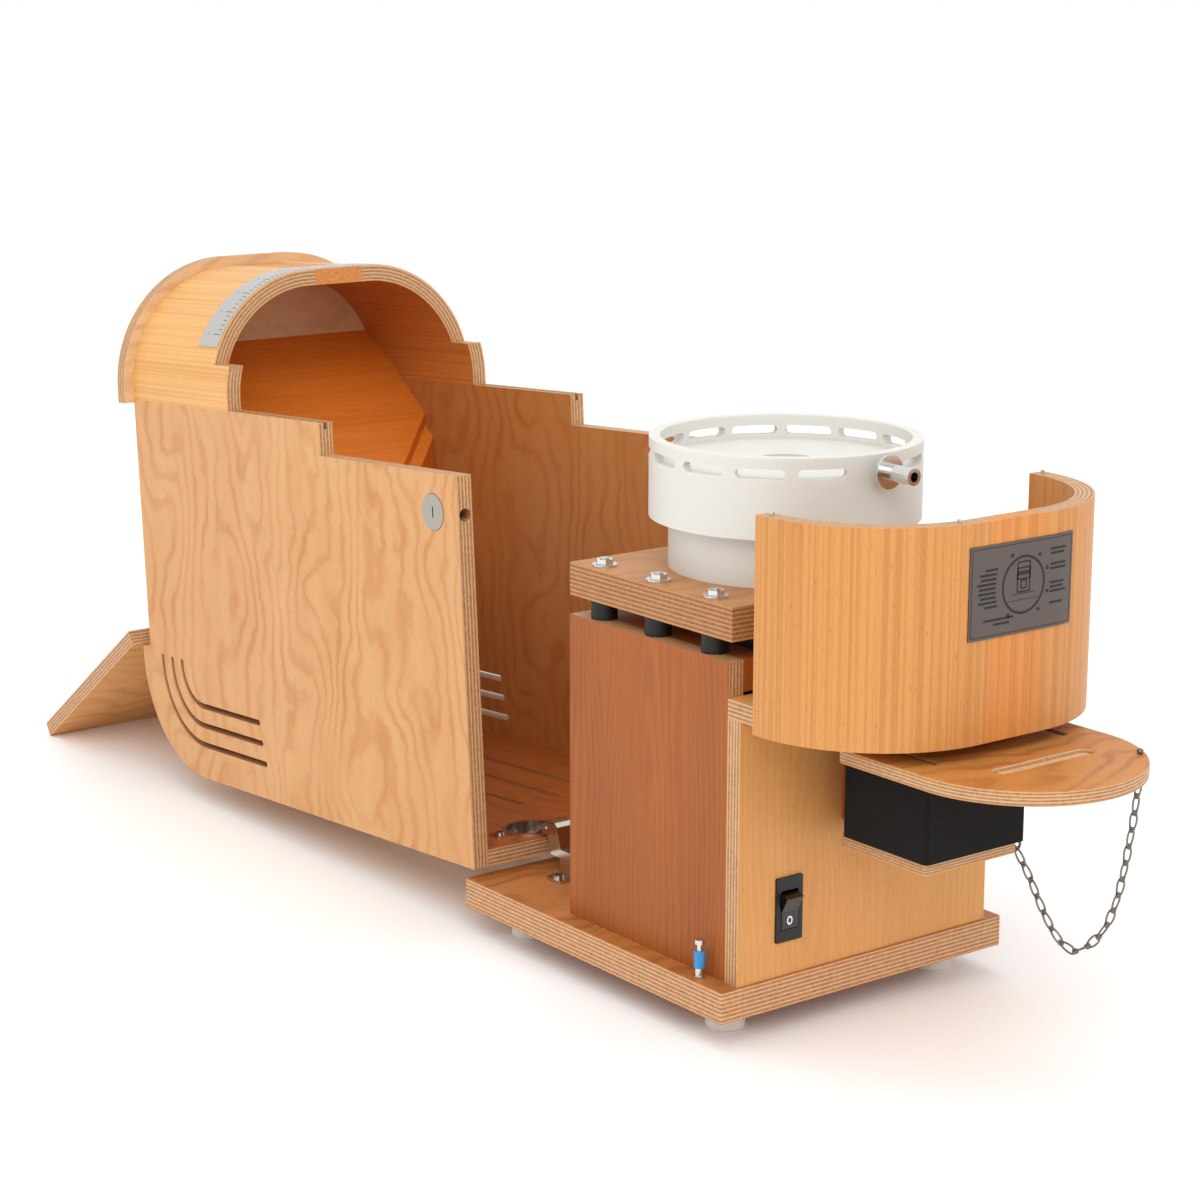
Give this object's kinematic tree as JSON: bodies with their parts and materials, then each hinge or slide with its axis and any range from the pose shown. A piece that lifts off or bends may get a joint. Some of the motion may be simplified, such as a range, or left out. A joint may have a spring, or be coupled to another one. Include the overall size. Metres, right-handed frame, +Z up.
{
  "type": "electric grain mill",
  "caption": "Electric stone grain mill in beech plywood, its housing tipped back on a hinge to show the grinding head, with a hopper lid, outlet slide on a chain and flour spout.",
  "frame": {"origin": "centre of the footprint of the opened mill, on the surface it stands on", "axes": "+Z up, -Y towards the front where the flour comes out, +Y towards the tipped-back housing, +X to the right seen from the front"},
  "size_m": [0.249, 1.0954, 0.4157],
  "materials": {
    "beech_ply": "satin lacquered beech plywood",
    "beech_solid": "satin lacquered solid beech",
    "white_plastic": "frosted white machined plastic",
    "grey_rubber": "pale grey rubber",
    "black_rubber": "black rubber",
    "black_foam": "dense black foam",
    "steel": "bright zinc plated steel",
    "nickel": "nickel plated steel",
    "chain_steel": "dull zinc plated steel",
    "plate_alloy": "brushed anodised aluminium",
    "blue_plastic": "glossy blue plastic",
    "black_plastic": "fine textured black plastic",
    "rocker_plastic": "glossy black plastic",
    "white_duct": "white moulded plastic",
    "motor_metal": "grey painted metal",
    "stone": "cast corundum ceramic grinding stone",
    "bright_metal": "turned aluminium"
  },
  "bodies": {
    "mill_stand": {"base_board": "beech_ply", "feet": "grey_rubber", "power_gland": "black_plastic", "cabinet_sides": "beech_ply", "cabinet_front": "beech_ply", "cabinet_back": "beech_ply", "buffer_rails": "beech_solid", "shelf_board": "beech_ply", "mantle_bends": "beech_ply", "mantle_center_block": "beech_solid", "mantle_pins": "steel", "instruction_plate": "plate_alloy", "mill_plate": "beech_ply", "rubber_buffers": "black_rubber", "plate_nuts": "steel", "motor_end_bells": "bright_metal", "motor_stator": "motor_metal", "shaft_bearings": "steel", "capacitor": "bright_metal", "grinding_chamber": "white_plastic", "flour_chute": "white_duct", "spout_bracket": "beech_solid", "spout_foam": "black_foam", "spout_board": "beech_ply", "slide_runners": "beech_solid", "spout_eye": "chain_steel", "chain": "chain_steel", "switch_housing": "black_plastic", "dowel_pins": "steel", "dowel_sleeves": "blue_plastic", "hinge_plates": "nickel", "hinge_arms": "nickel"},
    "grinding_rotor": {"motor_rotor": "steel", "cooling_fan": "black_plastic", "stone_carrier": "bright_metal", "lower_stone": "stone"},
    "adjusting_head": {"adjusting_ring": "white_plastic", "upper_stone": "stone", "lever_stud": "steel", "lever_socket": "steel"},
    "power_rocker": {"rocker": "rocker_plastic"},
    "outlet_slide": {"slide_board": "beech_ply", "slide_eye": "chain_steel"},
    "hinge_linkage": {"hinge_links": "nickel"},
    "tilting_housing": {"housing_left_side": "beech_ply", "housing_right_side": "beech_ply", "housing_back": "beech_ply", "housing_corner": "beech_ply", "arch_bends": "beech_ply", "arch_center_block": "beech_solid", "scale_strip": "plate_alloy", "top_plate": "beech_ply", "hopper_end_boards": "beech_ply", "hopper_cheeks": "beech_ply", "hinge_cups": "nickel", "lid_hinge_fixed_leaf": "steel"},
    "left_cam": {"left_cam_lock": "steel"},
    "right_cam": {"right_cam_lock": "steel"},
    "hopper_lid": {"lid_board": "beech_ply", "lid_hinge_moving_leaf": "steel"}
  },
  "joints": [
    {"name": "housing_tilt", "type": "hinge", "parent": "mill_stand", "child": "tilting_housing", "pos_m": [0, -0.07699, 0.0458], "axis": [1, 0, 0], "range_deg": [0, 93.6]},
    {"name": "lid_hinge", "type": "hinge", "parent": "tilting_housing", "child": "hopper_lid", "pos_m": [0, 0.38142, 0.1111], "axis": [1, 0, 0], "range_deg": [0, 121.6]},
    {"name": "hinge_link_swing", "type": "hinge", "parent": "mill_stand", "child": "hinge_linkage", "pos_m": [0, -0.08769, 0.065], "axis": [1, 0, 0], "range_deg": [-64.6, 0]},
    {"name": "grind_adjustment", "type": "hinge", "parent": "mill_stand", "child": "adjusting_head", "pos_m": [0, -0.26319, 0.338], "axis": [0, 0, 1], "range_deg": [-55, 55]},
    {"name": "motor_spin", "type": "hinge", "parent": "mill_stand", "child": "grinding_rotor", "pos_m": [0, -0.26319, 0.188], "axis": [0, 0, 1], "continuous": true},
    {"name": "rocker_tilt", "type": "hinge", "parent": "mill_stand", "child": "power_rocker", "pos_m": [-0.0645, -0.34419, 0.0803], "axis": [-1, 0, 0], "range_deg": [0, 28]},
    {"name": "outlet_slide_travel", "type": "slide", "parent": "mill_stand", "child": "outlet_slide", "axis": [0, 1, 0], "range_m": [0, 0.048], "deforming": ["chain"]},
    {"name": "left_cam_turn", "type": "hinge", "parent": "tilting_housing", "child": "left_cam", "pos_m": [-0.111, -0.03969, 0.28513], "axis": [-1, 0, 0], "range_deg": [0, 180]},
    {"name": "right_cam_turn", "type": "hinge", "parent": "tilting_housing", "child": "right_cam", "pos_m": [0.111, -0.03969, 0.28513], "axis": [-1, 0, 0], "range_deg": [0, 180]}
  ],
  "couplings": [
    {"joint": "hinge_link_swing", "follows": "housing_tilt", "ratio": -0.69}
  ]
}
